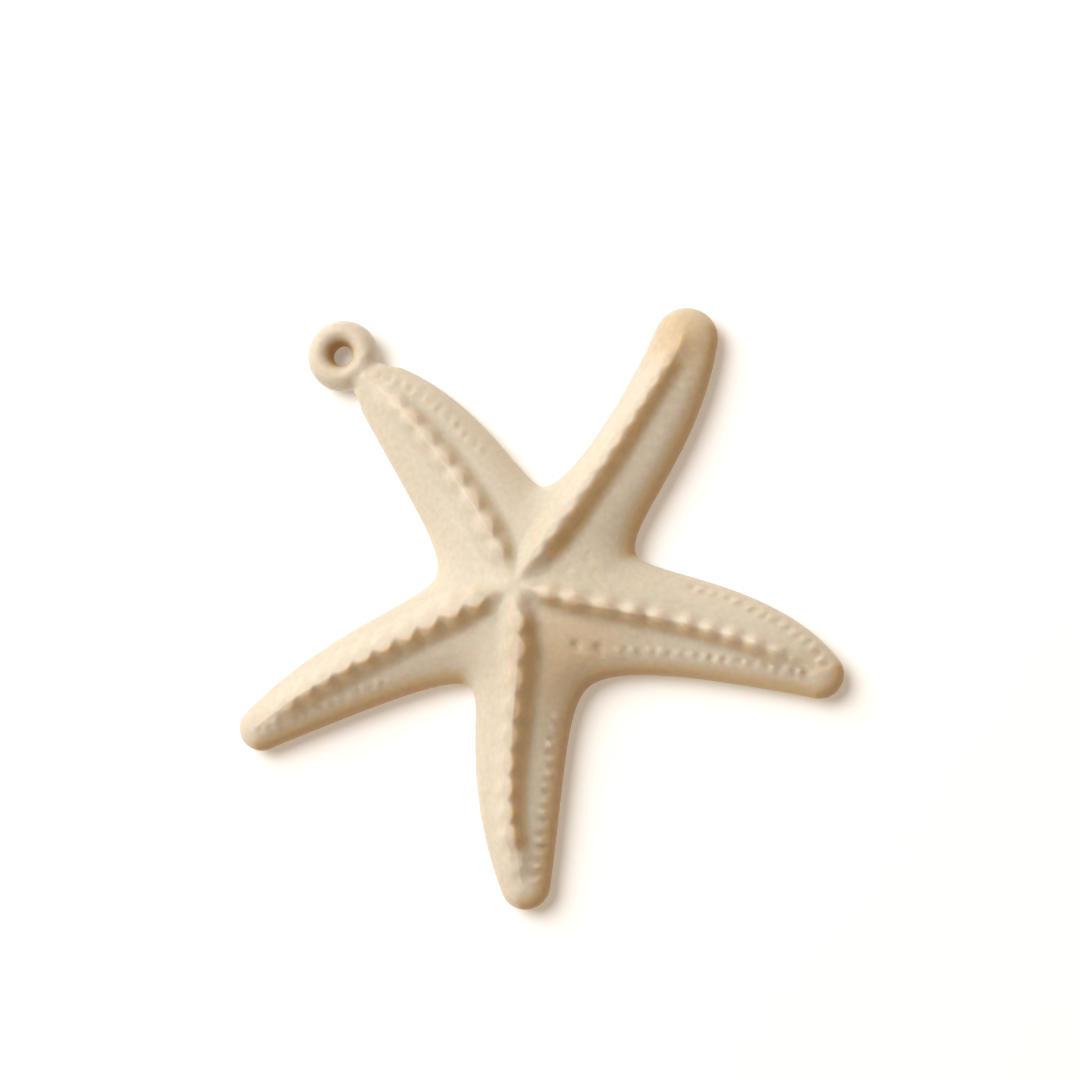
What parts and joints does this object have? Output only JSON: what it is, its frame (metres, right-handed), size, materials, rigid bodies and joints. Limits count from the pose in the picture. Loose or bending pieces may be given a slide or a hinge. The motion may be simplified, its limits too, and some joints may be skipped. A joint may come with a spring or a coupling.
{
  "type": "starfish pendant charm",
  "caption": "Small cast starfish pendant with a raised beaded crest along each arm, a flat back and an eyelet on one arm tip for a cord or jump ring",
  "frame": {"origin": "On the flat back, under the middle of the disc where the crests meet", "axes": "+Z out of the crested face, away from the flat back; +Y towards the eyelet end of the plan; +X to the right, seen from the front"},
  "size_m": [0.0452, 0.0446, 0.0059],
  "materials": {
    "cream_resin": "matt cast resin, warm cream, slightly waxy"
  },
  "bodies": {
    "root": {"starfish_pendant": "cream_resin"}
  },
  "joints": []
}
